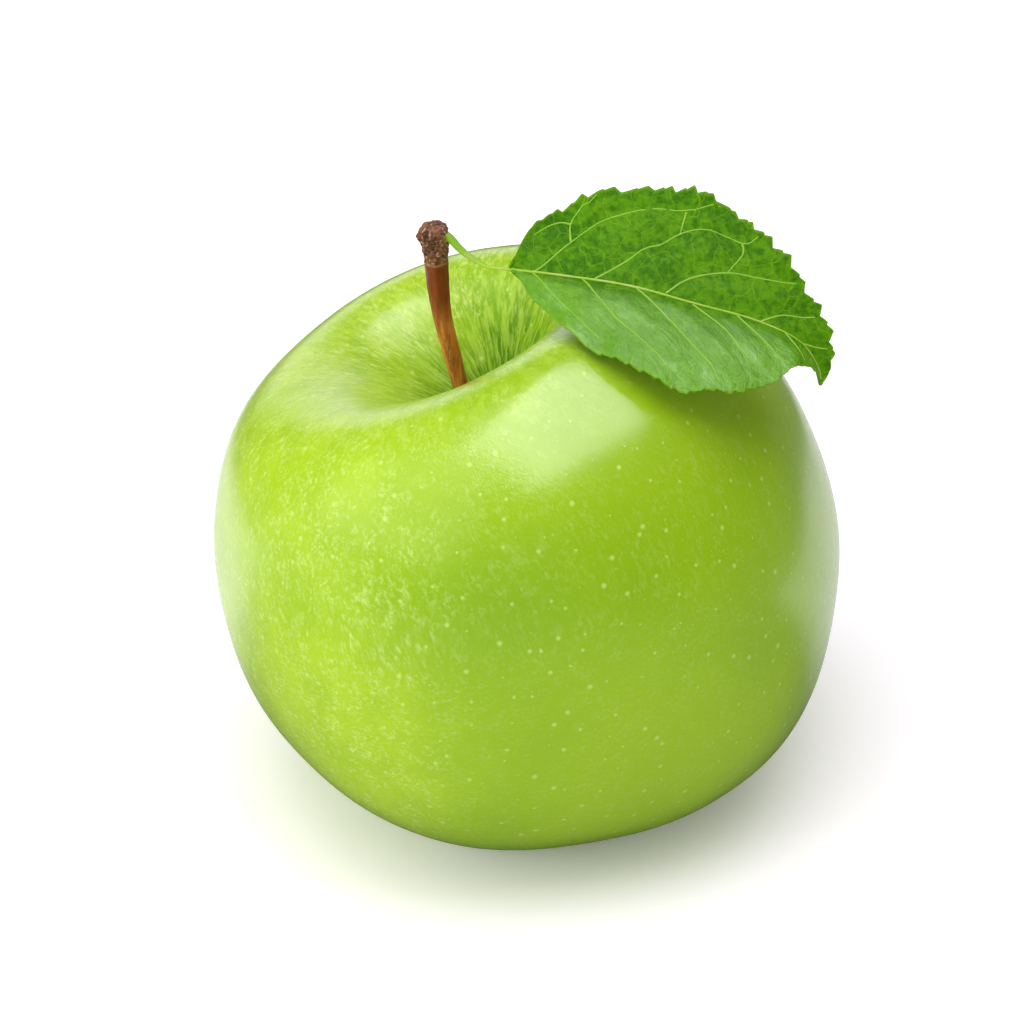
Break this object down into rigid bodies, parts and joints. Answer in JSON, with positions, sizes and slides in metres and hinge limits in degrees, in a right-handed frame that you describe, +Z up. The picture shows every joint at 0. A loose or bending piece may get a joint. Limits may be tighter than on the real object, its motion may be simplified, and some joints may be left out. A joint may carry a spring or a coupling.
{
  "type": "green apple",
  "caption": "Round green apple with a leaning woody stem, a toothed leaf on its stalk, and dried sepals in the basin underneath; rests on the worn rim of its base.",
  "frame": {"origin": "middle of the part's box on the plane that the apple rests on, under the calyx basin", "axes": "+Z up, front along -Y, the leaf reaches towards +X and the crown leans towards -X and nods towards -Y"},
  "size_m": [0.0794, 0.0838, 0.0849],
  "materials": {
    "skin": "satin",
    "stem_wood": "matte",
    "knob_bark": "matte",
    "leaf_green": "satin",
    "dried_sepal": "matte",
    "dried_flower": "matte"
  },
  "bodies": {
    "root": {"fruit": "skin", "stem": "stem_wood", "spur_knob": "knob_bark", "leaf": "leaf_green", "stamen_tuft": "dried_flower", "sepal_1": "dried_sepal", "sepal_2": "dried_sepal", "sepal_3": "dried_sepal", "sepal_4": "dried_sepal", "sepal_5": "dried_sepal"}
  },
  "joints": []
}
